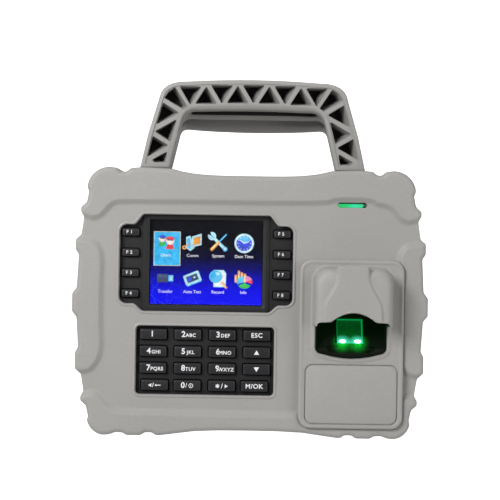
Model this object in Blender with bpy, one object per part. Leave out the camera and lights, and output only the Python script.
"""Portable fingerprint terminal with a carrying handle.

Lengths below are in millimetres and become metres when a mesh is made. X runs to the right, Z up,
and depth runs back from the flat front face of the housing. The origin is at the middle of the
depth, on the surface the feet stand on.
"""

import math

import bmesh
import bpy
from mathutils import Vector

MM = 0.001
GAP = 0.3
FACE_Y = -29.0            # flat front face, measured from the middle of the depth

# Housing
FLANK = 108.2             # half width where the flanks bow out most
FLANK_BOW = 0.00154       # how fast the flanks fall away from that height
FLANK_MID = 85.0
LUG_RISE = 2.7            # grip lugs stand this far off the flanks
LUGS = ((22.8, 4.3, 1.2), (46.5, 8.3, 5.0), (82.8, 9.0, 5.5), (119.0, 6.0, 3.1), (140.9, 4.5, 1.3))
CORNER_R = 14.0
CORNER_TOP = (89.0, 154.1)
CORNER_LOW = (90.0, 11.0)
CORNER_LOW_R = 11.0
TOP_DIP = 163.3           # lowest point of the top, under the handle
WALL = 3.0
BUMPER = 2.5              # raised corner and side bumpers
PARTING = 22.0            # depth of the joint between the shells
SEAM = 0.4
BACK = 82.0
CAVITY_INSET = 4.5
CAVITY_LOW, CAVITY_TOP = 9.0, 159.5
CAVITY_CORNER = 22.0      # corner posts are left solid for the screws

# Screen
SCREEN = (-28.0, 108.7)
SCREEN_SIZE = (70.1, 52.6)
WINDOW_X = -27.75
WINDOW_EAR = (54.25, 82.6, 132.0)
WINDOW_BLOCK = (38.75, 45.8, 78.0, 138.5)
SOFT_KEY_X = (-75.3, 19.6)
SOFT_KEY_Z = (127.3, 114.5, 101.8, 88.9)
SOFT_KEY = (10.6, 4.8)

# Keypad
PAD = (-71.0, 15.4, 26.0, 68.8)
KEY_X = (-60.2, -38.6, -17.0, 4.6)
KEY_Z = (63.6, 52.9, 42.4, 31.7)
KEY = (16.9, 6.6)
KEY_ROWS = (
    ("key_1", "key_2", "key_3", "key_esc"),
    ("key_4", "key_5", "key_6", "key_up"),
    ("key_7", "key_8", "key_9", "key_down"),
    ("key_back", "key_0", "key_star", "key_ok"),
)
END_KEY_SHIFT = 1.2       # the end keys of the lowest row sit closer together
KEY_CLEAR = 0.4

# Fingerprint unit
COVER = (31.4, 96.9, 6.6, 111.9)
COVER_R = 7.5
COVER_RISE = 5.0
UNIT_X = 63.65
HOOD = (39.2, 88.1, 71.1, 107.5)
HOOD_FRONT = -24.0
HOOD_WALL = 3.0
BAY = (42.6, 84.2, 50.2, 103.5)
BAY_SAG = 3.0
ARCH_HALF, ARCH_TOP = 13.2, 78.3
CARD = (34.8, 92.6, 9.3, 46.7)
SLOPE_LOW = (-1.2, 57.0)  # depth and height of the lower end of the sensor slope
SLOPE_TOP = (26.5, 95.5)
GLASS_HALF = 8.5
GLASS_LENGTH = 19.0
GLASS_MID = (6.4, 67.6)
LINER_WALL = 1.4
LINER_FRONT = -20.4       # the black liner runs forward inside the hood to here

# Status light
LAMP = (63.1, 146.0)
LAMP_SIZE = (18.0, 3.0)

# Handle
HANDLE = (24.0, 72.0)     # front and rear of the handle, as depths
HANDLE_FRAME = 28.0
HANDLE_GAP = 7.4
HANDLE_BASE = 168.8
RIM_OUTER, RIM_INNER = 2.6, 3.6
TRUSS_PITCH = 20.0
TRUSS_WEB = 1.2
POCKET_DEPTH = 14.0

# Rear
DOOR = (-45.0, 45.0, 85.0, 140.0)
PORT = (-40.0, 40.0, 18.0, 54.0)
PIN = (79.4, 50.5)        # depth and height of the port door's pin
BARREL_R = 2.3
SCREWS = ((-91.0, 14.5), (91.0, 14.5), (-91.0, 153.5), (91.0, 153.5))
SPEAKER = (70.0, 118.0)

FINISHES = {
    "housing_plastic": ((0.34, 0.33, 0.32), 0.62, 0.0),
    "handle_plastic": ((0.36, 0.35, 0.34), 0.6, 0.0),
    "dark_plastic": ((0.03, 0.03, 0.032), 0.55, 0.0),
    "key_plastic": ((0.028, 0.028, 0.03), 0.45, 0.0),
    "rubber": ((0.04, 0.04, 0.04), 0.85, 0.0),
    "clear": ((0.05, 0.06, 0.07), 0.05, 0.0),
    "lamp": ((0.02, 0.62, 0.2), 0.3, 0.0),
    "glass": ((0.02, 0.3, 0.08), 0.05, 0.0),
    "board": ((0.01, 0.16, 0.06), 0.5, 0.0),
    "steel": ((0.55, 0.55, 0.56), 0.3, 1.0),
    "battery_wrap": ((0.02, 0.05, 0.14), 0.5, 0.0),
}


# ---------------------------------------------------------------- helpers

def clear_scene():
    """Start from an empty scene."""
    for old in list(bpy.data.objects):
        bpy.data.objects.remove(old, do_unlink=True)


def finish(name):
    """The Principled material of one finish."""
    material = bpy.data.materials.get(name)
    if material:
        return material
    material = bpy.data.materials.new(name)
    material.use_nodes = True
    shader = material.node_tree.nodes["Principled BSDF"]
    colour, rough, metal = FINISHES[name]
    shader.inputs["Base Color"].default_value = (*colour, 1.0)
    shader.inputs["Roughness"].default_value = rough
    shader.inputs["Metallic"].default_value = metal
    return material


def skin(name, rings, coat, centre=(0.0, 0.0, 0.0), smooth=False):
    """A closed solid skinned over rings of points and capped at both ends."""
    middle = Vector(centre)
    shape = bmesh.new()
    loops = []
    for ring in rings:
        loops.append([shape.verts.new((Vector(point) - middle) * MM) for point in ring])
    count = len(loops[0])
    for near, far in zip(loops, loops[1:]):
        for i in range(count):
            j = (i + 1) % count
            shape.faces.new((near[i], near[j], far[j], far[i]))
    shape.faces.new(loops[0])
    shape.faces.new(loops[-1])
    bmesh.ops.recalc_face_normals(shape, faces=shape.faces)
    if shape.calc_volume(signed=True) < 0:
        bmesh.ops.reverse_faces(shape, faces=shape.faces)
    mesh = bpy.data.meshes.new(name)
    shape.to_mesh(mesh)
    shape.free()
    if smooth:
        mesh.shade_smooth()
        mesh.set_sharp_from_angle(angle=math.radians(35))
    mesh.materials.append(finish(coat))
    made = bpy.data.objects.new(name, mesh)
    made.location = middle * MM
    bpy.context.scene.collection.objects.link(made)
    return made


def plate(name, outline, front, back, coat, **options):
    """An outline in X and Z, carried from one depth to another."""
    rings = [[(x, FACE_Y + depth, z) for x, z in outline] for depth in (front, back)]
    return skin(name, rings, coat, **options)


def bar(name, profile, left, right, coat, **options):
    """A profile in depth and Z, carried across from left to right."""
    rings = [[(x, FACE_Y + depth, z) for depth, z in profile] for x in (left, right)]
    return skin(name, rings, coat, **options)


def guide(shape):
    """Marks a solid as a cutter or a joining piece and not a part of the object."""
    shape.hide_render = True
    shape.display_type = "WIRE"
    return shape


def combine(target, other, operation):
    """Adds an exact Boolean with a guide solid."""
    step = target.modifiers.new(other.name, "BOOLEAN")
    step.operation = operation
    step.solver = "EXACT"
    step.object = guide(other)


def cut(target, outline, front, back):
    """Cuts an outline out of a solid between two depths."""
    name = f"{target.name}_cut_{len(target.modifiers)}"
    combine(target, plate(name, outline, front, back, "dark_plastic"), "DIFFERENCE")


def box(x0, x1, z0, z1):
    """The four corners of a rectangle."""
    return [(x0, z0), (x1, z0), (x1, z1), (x0, z1)]


def arc(cx, cz, radius, start, end, steps):
    """Points on an arc, with angles in degrees."""
    points = []
    for i in range(steps + 1):
        angle = math.radians(start + (end - start) * i / steps)
        points.append((cx + radius * math.cos(angle), cz + radius * math.sin(angle)))
    return points


def circle(cx, cz, radius, steps=20):
    """A closed ring of points."""
    return arc(cx, cz, radius, 0, 360 - 360 / steps, steps - 1)


def rounded(x0, x1, z0, z1, radius, steps=4):
    """A rectangle with rounded corners."""
    points = arc(x1 - radius, z0 + radius, radius, -90, 0, steps)
    points += arc(x1 - radius, z1 - radius, radius, 0, 90, steps)
    points += arc(x0 + radius, z1 - radius, radius, 90, 180, steps)
    points += arc(x0 + radius, z0 + radius, radius, 180, 270, steps)
    return points


def grown(rect, amount):
    """A rectangle made larger on every side."""
    x0, x1, z0, z1 = rect
    return (x0 - amount, x1 + amount, z0 - amount, z1 + amount)


def both_sides(right):
    """Closes a right half, listed from bottom to top, with its mirror image."""
    left = [(-x, z) for x, z in reversed(right) if x > 0.01]
    return right + left


def inset_triangle(points, amount):
    """Moves the three sides of a triangle inwards."""
    sides = []
    middle = sum((Vector(p) for p in points), Vector((0.0, 0.0))) / 3
    for i in range(3):
        start, end = Vector(points[i]), Vector(points[(i + 1) % 3])
        along = (end - start).normalized()
        inward = Vector((-along.y, along.x))
        if inward.dot(middle - start) < 0:
            inward.negate()
        sides.append((start + inward * amount, along))
    corners = []
    for i in range(3):
        (p, d), (q, e) = sides[i - 1], sides[i]
        across = d.x * e.y - d.y * e.x
        reach = ((q.x - p.x) * e.y - (q.y - p.y) * e.x) / across
        corners.append(tuple(p + d * reach))
    return corners


# ---------------------------------------------------------------- housing

def flank(z):
    """Half width of the bowed flank at a height."""
    return FLANK - FLANK_BOW * (z - FLANK_MID) ** 2


def body_outline():
    """Front outline of the housing, with its lugs, feet and corner bumpers."""
    right = [(0.0, 4.9), (18.0, 4.5), (33.8, 3.3), (54.0, 0.0), (60.5, 0.0), (62.0, 2.4), (65.5, 2.2)]
    right += [(68.5, 0.0), (75.5, 0.0), (79.0, 2.6), (84.5, 2.4), (87.0, 0.0)]
    right += arc(*CORNER_LOW, CORNER_LOW_R, -90, -12, 6)
    right.append((flank(11.8), 11.8))
    for z, half, flat in LUGS:
        right.append((flank(z - half), z - half))
        right += [(flank(z) + LUG_RISE, z - flat), (flank(z) + LUG_RISE, z + flat)]
        right.append((flank(z + half), z + half))
    right.append((flank(152.4), 152.4))
    right += arc(*CORNER_TOP, CORNER_R, 5, 90, 7)
    right += [(84.5, 167.6), (82.0, 164.8), (78.5, 164.8), (75.5, 167.6), (69.0, 168.3)]
    for x in (50.0, 36.0, 22.0, 8.0):
        right.append((x, TOP_DIP + 4.4 * (x / 50.0) ** 2))
    return both_sides(right)


def cavity_outline(grow=0.0):
    """Inside of the shells, with its corners cut off to leave the screw posts."""
    inset = CAVITY_INSET - grow
    low, top = CAVITY_LOW - grow, CAVITY_TOP + grow
    slant = CAVITY_CORNER + 0.6 * grow
    right = [(0.0, low), (flank(low + slant) - inset - CAVITY_CORNER, low)]
    for i in range(7):
        z = low + slant + (top - low - 2 * slant) * i / 6
        right.append((flank(z) - inset, z))
    right += [(flank(top - slant) - inset - CAVITY_CORNER, top), (0.0, top)]
    return both_sides(right[:-1])


def face_outline():
    """The sunken flat face between the bumpers, carried out past the flanks where they stop."""
    right = [(0.0, 16.2), (73.0, 17.1), (82.0, 17.3), (87.6, 20.3), (91.6, 25.2), (97.2, 27.9)]
    right += [(102.4, 26.2), (116.0, 24.0), (116.0, 39.0), (101.3, 38.2), (94.1, 45.6), (92.3, 53.5)]
    right += [(93.6, 83.0), (92.9, 112.1), (97.0, 119.3), (104.3, 121.3), (116.0, 121.5), (116.0, 138.5)]
    right += [(104.3, 136.6), (98.5, 134.9), (93.8, 136.8), (90.0, 141.1), (86.2, 144.6), (82.4, 145.8)]
    step = [(78.0, 146.1), (74.8, 148.9), (51.5, 148.9), (47.5, 146.1)]
    left = [(-x, z) for x, z in reversed(right) if x > 0.01]
    return right + step + left


def window_outline(grow=0.0):
    """The recess of the screen: two ears for the soft keys and a taller middle block."""
    ear, ear_low, ear_top = WINDOW_EAR
    near, far, block_low, block_top = WINDOW_BLOCK
    corner = 4.5
    ear += grow
    right = []
    for i in range(6):
        t = i / 5
        rise = t * t * (3 - 2 * t)
        right.append((near + (far - near) * t + grow, block_low + (ear_low - block_low) * rise - grow))
    right += arc(ear - corner, ear_low - grow + corner, corner, -90, 0, 4)
    right += arc(ear - corner, ear_top + grow - corner, corner, 0, 90, 4)
    for i in range(6):
        t = 1 - i / 5
        rise = t * t * (3 - 2 * t)
        right.append((near + (far - near) * t + grow, block_top + (ear_top - block_top) * rise + grow))
    whole = both_sides(right)
    return [(x + WINDOW_X, z) for x, z in whole]


def front_housing():
    """Front shell: bumpers, windows, finger opening and lamp slot."""
    shell = plate("front_housing", body_outline(), -BUMPER, PARTING, "housing_plastic")
    cut(shell, cavity_outline(), WALL, PARTING + 6)
    cut(shell, face_outline(), -BUMPER - 3, 0.0)
    cut(shell, rounded(*grown(COVER, GAP), COVER_R + GAP), -BUMPER - 4, 0.0)
    cut(shell, window_outline(), -4.0, WALL + 2)
    cut(shell, rounded(*PAD, 2.5), -4.5, WALL + 2)
    cut(shell, box(*grown(BAY, 0.5)), -5.0, WALL + 3)
    x, z = LAMP
    wide, tall = LAMP_SIZE
    cut(shell, rounded(x - wide / 2, x + wide / 2, z - tall / 2, z + tall / 2, 1.45), -5.5, WALL + 1)
    for x, z in SCREWS:
        cut(shell, circle(x, z, 2.0, 12), 8.0, PARTING + 4)


def rear_housing():
    """Rear shell, with its rounded rear edge, seal groove, battery bay and socket recess."""
    outline = body_outline()
    rings = []
    for depth, scale in ((PARTING + SEAM, 1.0), (BACK - 7.0, 1.0), (BACK - 2.5, 0.985), (BACK, 0.96)):
        rings.append([(x * scale, FACE_Y + depth, 84.0 + (z - 84.0) * scale) for x, z in outline])
    shell = skin("rear_housing", rings, "housing_plastic")
    cut(shell, cavity_outline(), PARTING - 4, BACK - WALL)
    groove = plate("seal_groove", cavity_outline(3.0), PARTING - 5, PARTING + 2.2, "rubber")
    combine(shell, groove, "DIFFERENCE")
    frame = plate("socket_frame", box(*grown(PORT, 6.0)), 73.0, BACK - WALL + 1, "housing_plastic")
    combine(shell, frame, "UNION")
    cut(shell, rounded(*PORT, 2.0, 2), 76.6, BACK + 3)
    cut(shell, box(-35.0, 35.0, 22.0, 44.0), 70.0, 78.0)
    hole = bar("pin_hole", circle(*PIN, 1.3, 12), -43.5, 43.5, "steel")
    combine(shell, hole, "DIFFERENCE")
    cut(shell, rounded(*DOOR, 4.0, 3), BACK - 1.9, BACK + 4)
    cut(shell, box(*grown(DOOR, -4.0)), BACK - WALL - 4, BACK - 1)
    for i in range(6):
        z = SPEAKER[1] + (i - 2.5) * 5.0
        cut(shell, box(SPEAKER[0] - 11, SPEAKER[0] + 11, z - 1.2, z + 1.2), BACK - WALL - 3, BACK + 3.5)
    for x, z in SCREWS:
        cut(shell, circle(x, z, 2.0, 12), PARTING - 6, 77.0)
        cut(shell, circle(x, z, 4.2, 16), 76.0, BACK + 5)


def seal_and_screws():
    """The rubber ring in the joint, and the four long screws that close it."""
    ring = plate("housing_seal", cavity_outline(2.6), PARTING + 0.3, PARTING + 1.9, "rubber")
    cut(ring, cavity_outline(0.4), PARTING - 3, PARTING + 6)
    for i, (x, z) in enumerate(SCREWS):
        rings = []
        for depth, radius in ((10.0, 1.6), (76.3, 1.6), (76.3, 3.7), (78.3, 3.7), (79.0, 3.0)):
            rings.append([(px, FACE_Y + depth, pz) for px, pz in circle(x, z, radius, 16)])
        screw = skin(f"housing_screw_{i + 1}", rings, "steel", centre=(x, FACE_Y + 76, z), smooth=True)
        cut(screw, circle(x, z, 1.5, 6), 77.6, 83.0)


# ---------------------------------------------------------------- screen and keypad

def key(name, x, z, size, top, coat="key_plastic"):
    """A key cap with a bevelled top and a flange that keeps it in its frame."""
    wide, tall = size
    stages = ((1.0, 8.6), (1.0, 7.0), (0.0, 6.9), (0.0, top + 0.7), (-0.7, top))
    rings = []
    for grow, depth in stages:
        rect = (x - wide / 2 - grow, x + wide / 2 + grow, z - tall / 2 - grow, z + tall / 2 + grow)
        rings.append([(px, FACE_Y + depth, pz) for px, pz in rounded(*rect, 1.3, 1)])
    skin(name, rings, coat, centre=(x, FACE_Y + 7.8, z))


def key_hole(frame, x, z, size):
    """The hole in a frame that one key moves in."""
    wide, tall = size
    rect = (x - wide / 2, x + wide / 2, z - tall / 2, z + tall / 2)
    cut(frame, rounded(*grown(rect, KEY_CLEAR), 1.4, 1), 0.0, 9.0)


def screen_unit():
    """Bezel, cover, panel, frame and board of the screen, and the eight soft keys."""
    sx, sz = SCREEN
    half_x, half_z = SCREEN_SIZE[0] / 2, SCREEN_SIZE[1] / 2
    around = (sx - half_x, sx + half_x, sz - half_z, sz + half_z)
    bezel = plate("display_bezel", window_outline(2.0), WALL + GAP, 6.3, "dark_plastic")
    cut(bezel, rounded(*grown(around, 1.2), 1.0, 1), 0.0, 9.5)
    number = 1
    for x in SOFT_KEY_X:
        for z in SOFT_KEY_Z:
            key_hole(bezel, x, z, SOFT_KEY)
            key(f"key_f{number}", x, z, SOFT_KEY, 0.9)
            number += 1
    plate("display_window", rounded(*grown(around, 0.9), 0.8, 1), 4.3, 5.5, "clear")
    plate("lcd_panel", box(*grown(around, 3.0)), 6.7, 9.4, "clear")
    ring = plate("lcd_frame", box(*grown(around, 5.5)), 6.6, 9.9, "steel")
    cut(ring, box(*grown(around, 3.4)), 4.0, 12.0)
    plate("display_board", box(-85.0, 29.5, 78.0, 138.0), 10.3, 11.9, "board")


def keypad_unit():
    """Frame, mat, board and the sixteen keys of the keypad."""
    frame = plate("keypad_frame", box(*grown(PAD, 2.5)), WALL + GAP, 5.8, "dark_plastic")
    for names, z in zip(KEY_ROWS, KEY_Z):
        for name, x in zip(names, KEY_X):
            if name == "key_back":
                x += END_KEY_SHIFT
            if name == "key_ok":
                x -= END_KEY_SHIFT
            key_hole(frame, x, z, KEY)
            key(name, x, z, KEY, 0.6)
    plate("keypad_mat", box(*grown(PAD, 1.5)), 10.1, 11.3, "rubber")
    plate("keypad_board", box(*grown(PAD, 2.5)), 11.6, 13.2, "board")


# ---------------------------------------------------------------- fingerprint unit

def bay_outline(inset=0.0):
    """Opening of the finger bay, with its bowed lower edge."""
    x0, x1, low, top = BAY
    x0, x1, low, top = x0 + inset, x1 - inset, low + inset, top - inset
    corner = 4.0 - inset
    points = arc(x1 - corner, low + BAY_SAG + corner, corner, -70, 0, 3) + [(x1, top), (x0, top)]
    points += arc(x0 + corner, low + BAY_SAG + corner, corner, 180, 250, 3)
    middle = (x0 + x1) / 2
    return points + [(middle - 9, low + 0.3), (middle, low), (middle + 9, low + 0.3)]


def fingerprint_cover():
    """Raised plate with the finger hood, the sensor bay and the recess of the card panel."""
    cover = plate("fingerprint_cover", rounded(*COVER, COVER_R), -COVER_RISE, -GAP, "housing_plastic")
    rings = []
    for depth, inset in ((-3.0, 0.0), (-15.0, 0.4), (-20.5, 1.6), (-23.2, 4.0), (HOOD_FRONT, 7.0)):
        x0, x1, z0, z1 = HOOD
        outline = rounded(x0 + inset, x1 - inset, z0 - 8.0, z1 - inset, 8.0)
        rings.append([(x, FACE_Y + depth, max(z, z0)) for x, z in outline if z > z0 - 4.0])
    hood = skin("hood_form", rings, "housing_plastic")
    combine(cover, hood, "UNION")
    cut(cover, bay_outline(), HOOD_FRONT + HOOD_WALL, 4.0)
    arch = [(UNIT_X + ARCH_HALF, 65.0), (UNIT_X + ARCH_HALF, 71.6)]
    arch += [(UNIT_X + 8.5, 75.7), (UNIT_X + 4.5, 77.7), (UNIT_X, ARCH_TOP)]
    arch += [(UNIT_X - 4.5, 77.7), (UNIT_X - 8.5, 75.7), (UNIT_X - ARCH_HALF, 71.6)]
    arch += [(UNIT_X - ARCH_HALF, 65.0)]
    cut(cover, arch, HOOD_FRONT - 5, HOOD_FRONT + HOOD_WALL + 2)
    cut(cover, rounded(*CARD, 5.0), -COVER_RISE - 2, -COVER_RISE + 1.0)
    cut(cover, box(*grown(CARD, -2.0)), -2.6, 3.0)
    plate("card_panel", rounded(*grown(CARD, -GAP), 4.7), -COVER_RISE, -COVER_RISE + 0.7, "housing_plastic")
    coil = plate("card_antenna", box(*grown(CARD, -4.0)), -2.3, -0.9, "board")
    cut(coil, box(*grown(CARD, -12.0)), -5.0, 2.0)


def sensor_unit():
    """Black cradle with the sloping finger rest, the glass block in it and the reader behind."""
    x0, x1 = BAY[0], BAY[1]
    (low_d, low_z), (top_d, top_z) = SLOPE_LOW, SLOPE_TOP
    cradle = plate("sensor_cradle", bay_outline(0.4), LINER_FRONT, 35.0, "dark_plastic")
    open_front = bar("open_front", [(-30, 40), (-4.4, 40), (-4.4, 71.6), (-30, 71.6)], x0 - 5, x1 + 5, "dark_plastic")
    combine(cradle, open_front, "DIFFERENCE")
    under = bar("under_slope", [(12, 40), (45, 40), (45, 88), (34, 88)], x0 - 6, x1 + 6, "dark_plastic")
    combine(cradle, under, "DIFFERENCE")
    roof = BAY[3] - 0.4 - LINER_WALL
    space = [(-30.0, low_z - 1.6), (-2.8, low_z - 1.6), (low_d, low_z), (top_d, top_z), (top_d, roof), (-30.0, roof)]
    left, right = x0 + 0.4 + LINER_WALL, x1 - 0.4 - LINER_WALL
    combine(cradle, bar("finger_space", space, left, right, "dark_plastic"), "DIFFERENCE")
    along = Vector((top_d - low_d, top_z - low_z)).normalized()
    inward = Vector((along.y, -along.x))

    def block(name, half_x, half_run, near, far, coat):
        """A block square to the slope, from one depth under it to another."""
        middle = Vector(GLASS_MID)
        slope = Vector(SLOPE_LOW) + along * along.dot(middle - Vector(SLOPE_LOW))
        corners = []
        for run, down in ((-half_run, near), (half_run, near), (half_run, far), (-half_run, far)):
            corners.append(tuple(slope + along * run + inward * down))
        return bar(name, corners, UNIT_X - 1.05 - half_x, UNIT_X - 1.05 + half_x, coat)

    half_run = GLASS_LENGTH / 2
    combine(cradle, block("glass_hole", GLASS_HALF + GAP, half_run + GAP, -3.0, 30.0, "glass"), "DIFFERENCE")
    block("sensor_prism", GLASS_HALF, half_run, GAP, 8.0, "glass")
    plate("sensor_module", box(50.0, 76.0, 58.0, 88.0), 36.0, 42.0, "board")


def status_lamp():
    """Light guide of the status lamp, and its small board."""
    x, z = LAMP
    half_x, half_z = LAMP_SIZE[0] / 2 - GAP, LAMP_SIZE[1] / 2 - GAP
    plate("status_light", rounded(x - half_x, x + half_x, z - half_z, z + half_z, 1.15), 0.5, 7.0, "lamp")
    plate("status_led_board", box(x - 13, x + 13, z - 5, z + 5), 7.3, 8.9, "board")


# ---------------------------------------------------------------- handle

def top_edge(x):
    """Height of the handle's bowed upper edge."""
    return 226.3 - 3.1 * (x / 50.2) ** 2


def handle_outline(drop, shrink=0.0):
    """Arch of the handle; drop lowers the grip's underside, shrink thins the band."""
    outer = [(71.0 - shrink, HANDLE_BASE), (59.1 - shrink, 214.8 - shrink), (55.5 - shrink, 220.3 - shrink)]
    for x in (50.2, 33.0, 17.0, 0.0):
        outer.append((x - (shrink if x > 40 else 0.0), top_edge(x) - shrink))
    inner = [(0.0, 207.9 - drop + shrink), (32.0, 208.5 - drop + shrink), (40.1 + shrink, 207.5 - drop + shrink)]
    inner += [(44.6 + shrink, 204.3 - drop), (47.1 + shrink, 197.9 - drop), (52.6 + shrink, HANDLE_BASE)]
    whole = outer + [(-x, z) for x, z in reversed(outer) if x > 0.01]
    whole += [(-x, z) for x, z in reversed(inner)]
    whole += inner[1:]
    return whole


def on_line(start, end, z):
    """The point at height z on the line from start to end."""
    t = (z - start[1]) / (end[1] - start[1])
    return (start[0] + (end[0] - start[0]) * t, z)


def truss_pockets():
    """Triangles between the diagonals of the top bar and of the legs."""
    low = 208.5 + RIM_INNER - TRUSS_WEB
    rise = TRUSS_WEB - RIM_OUTER
    half = TRUSS_PITCH / 2
    triangles = []
    for i in range(5):
        x = (i - 2) * TRUSS_PITCH
        triangles.append([(x - half, top_edge(x - half) + rise), (x + half, top_edge(x + half) + rise), (x, low)])
    for i in range(4):
        x = (i - 1.5) * TRUSS_PITCH
        triangles.append([(x - half, low), (x + half, low), (x, top_edge(x) + rise)])
    outer_line = ((71.0 - RIM_OUTER, HANDLE_BASE), (59.1 - RIM_OUTER, 214.8))
    inner_line = ((52.6 + RIM_INNER, HANDLE_BASE), (47.1 + RIM_INNER, 197.9))
    outer = [on_line(*outer_line, z) for z in (213.5, 196.0, 180.0)]
    inner = [on_line(*inner_line, z) for z in (205.0, 187.5, 174.0)]
    side = [[(45.0, 211.5), (52.0, 219.5), outer[0]]]
    side += [[outer[0], inner[0], outer[1]], [inner[0], outer[1], inner[1]]]
    side += [[outer[1], inner[1], outer[2]], [inner[1], outer[2], inner[2]]]
    for triangle in side:
        triangles.append(triangle)
        triangles.append([(-x, z) for x, z in triangle])
    return [inset_triangle(points, TRUSS_WEB) for points in triangles]


def handle():
    """Front frame with its truss pockets, the set-back core and the rear frame."""
    front, rear = HANDLE
    middle = front + HANDLE_FRAME
    rings = []
    for depth, drop in ((front, 0.0), (middle, 7.0)):
        rings.append([(x, FACE_Y + depth, z) for x, z in handle_outline(drop)])
    frame = skin("handle_front_frame", rings, "handle_plastic")
    for points in truss_pockets():
        cut(frame, points, front - 4.0, front + POCKET_DEPTH)
    core = middle + GAP
    plate("handle_core", handle_outline(7.0, 2.0), core, core + HANDLE_GAP - 2 * GAP, "dark_plastic")
    rings = []
    for depth, drop in ((middle + HANDLE_GAP, 9.0), (rear - 3.0, 12.0), (rear, 11.0)):
        shrink = 1.5 if depth == rear else 0.0
        rings.append([(x, FACE_Y + depth, z) for x, z in handle_outline(drop, shrink)])
    skin("handle_rear_frame", rings, "handle_plastic")


# ---------------------------------------------------------------- rear and inside

def port_door():
    """Rubber flap over the sockets, and the pin along its upper edge."""
    depth, z = PIN
    axis = (0.0, FACE_Y + depth, z)
    flap = bar("port_door", circle(depth, z, BARREL_R, 16), PORT[0] + 0.5, PORT[1] - 0.5, "rubber", centre=axis)
    shape = rounded(PORT[0] + 0.5, PORT[1] - 0.5, PORT[2] + 0.5, z, 1.6, 2)
    leaf = plate("door_leaf", shape, depth - 0.1, 81.6, "rubber")
    plug = plate("door_plug", box(-33.0, 33.0, 24.0, 42.0), 77.2, depth + 1.0, "rubber")
    combine(flap, leaf, "UNION")
    combine(flap, plug, "UNION")
    bore = bar("door_bore", circle(depth, z, 1.35, 12), PORT[0] - 2, PORT[1] + 2, "rubber")
    combine(flap, bore, "DIFFERENCE")
    bar("port_door_pin", circle(depth, z, 1.0, 12), -43.2, 43.2, "steel", smooth=True)


def sockets():
    """The board behind the flap and its three sockets."""
    plate("io_board", box(-38.0, 38.0, 14.0, 50.0), 56.0, 57.6, "board")
    mouths = (("network_socket", -20.0, 16.0, 13.6), ("usb_socket", 4.0, 14.4, 7.0), ("power_socket", 25.0, 10.0, 10.6))
    for name, x, wide, tall in mouths:
        rect = (x - wide / 2, x + wide / 2, 33.0 - tall / 2, 33.0 + tall / 2)
        shell = plate(name, box(*rect), 57.9, 75.8, "steel")
        if name == "power_socket":
            cut(shell, circle(x, 33.0, 3.2, 12), 64.0, 79.0)
        else:
            cut(shell, box(*grown(rect, -1.0)), 64.0, 79.0)


def inside():
    """Battery and its door, main board and speaker."""
    plate("battery_door", rounded(*grown(DOOR, -GAP), 3.7, 3), BACK - 1.6, BACK - 0.1, "housing_plastic")
    plate("battery_pack", rounded(*grown(DOOR, -6.0), 3.0, 2), 56.0, 78.4, "battery_wrap")
    plate("main_board", box(-86.0, 36.0, 60.0, 150.0), 34.0, 35.6, "board")
    x, z = SPEAKER
    rings = []
    for depth, radius in ((66.0, 8.0), (70.0, 8.0), (74.0, 15.0), (78.4, 15.0)):
        rings.append([(px, FACE_Y + depth, pz) for px, pz in circle(x, z, radius)])
    skin("speaker", rings, "steel", centre=(x, FACE_Y + 72, z), smooth=True)


clear_scene()
front_housing()
rear_housing()
seal_and_screws()
screen_unit()
keypad_unit()
fingerprint_cover()
sensor_unit()
status_lamp()
handle()
port_door()
sockets()
inside()
